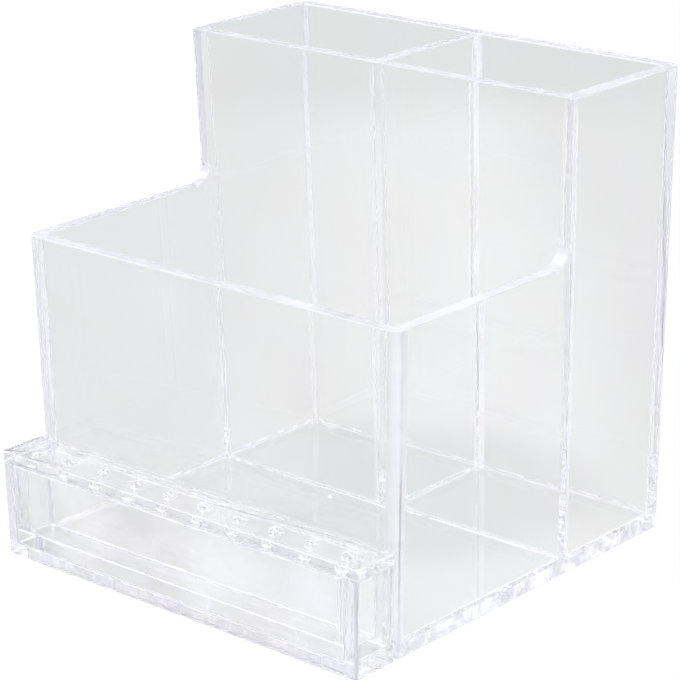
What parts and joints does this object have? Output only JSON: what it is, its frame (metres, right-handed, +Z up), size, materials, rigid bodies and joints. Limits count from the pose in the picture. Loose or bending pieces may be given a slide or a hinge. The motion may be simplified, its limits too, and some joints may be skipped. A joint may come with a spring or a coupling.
{
  "type": "brush holder with drawer",
  "caption": "Clear stepped desk-top holder with a tall divided rear section, a low front trough and a slim drawer below a perforated tool rack.",
  "frame": {"origin": "middle of the footprint, on the surface that the holder stands on", "axes": "+Z up; the drawer opens towards -Y; +X is to the right of someone facing the drawer"},
  "size_m": [0.106, 0.102, 0.1045],
  "materials": {
    "clear_body": "clear, polished",
    "clear_drawer": "clear, polished"
  },
  "bodies": {
    "holder": {"base_plate": "clear_body", "rear_wall": "clear_body", "left_side_panel": "clear_body", "right_side_panel": "clear_body", "front_wall": "clear_body", "partition": "clear_body", "divider": "clear_body", "bay_floor": "clear_body", "left_bay_cheek": "clear_body", "right_bay_cheek": "clear_body", "rack_plate": "clear_body"},
    "drawer": {"drawer_front": "clear_drawer", "drawer_back": "clear_drawer", "drawer_left_end": "clear_drawer", "drawer_right_end": "clear_drawer", "drawer_floor": "clear_drawer"}
  },
  "joints": [
    {"name": "drawer_slide", "type": "slide", "parent": "holder", "child": "drawer", "axis": [0, -1, 0], "range_m": [0, 0.009]}
  ]
}
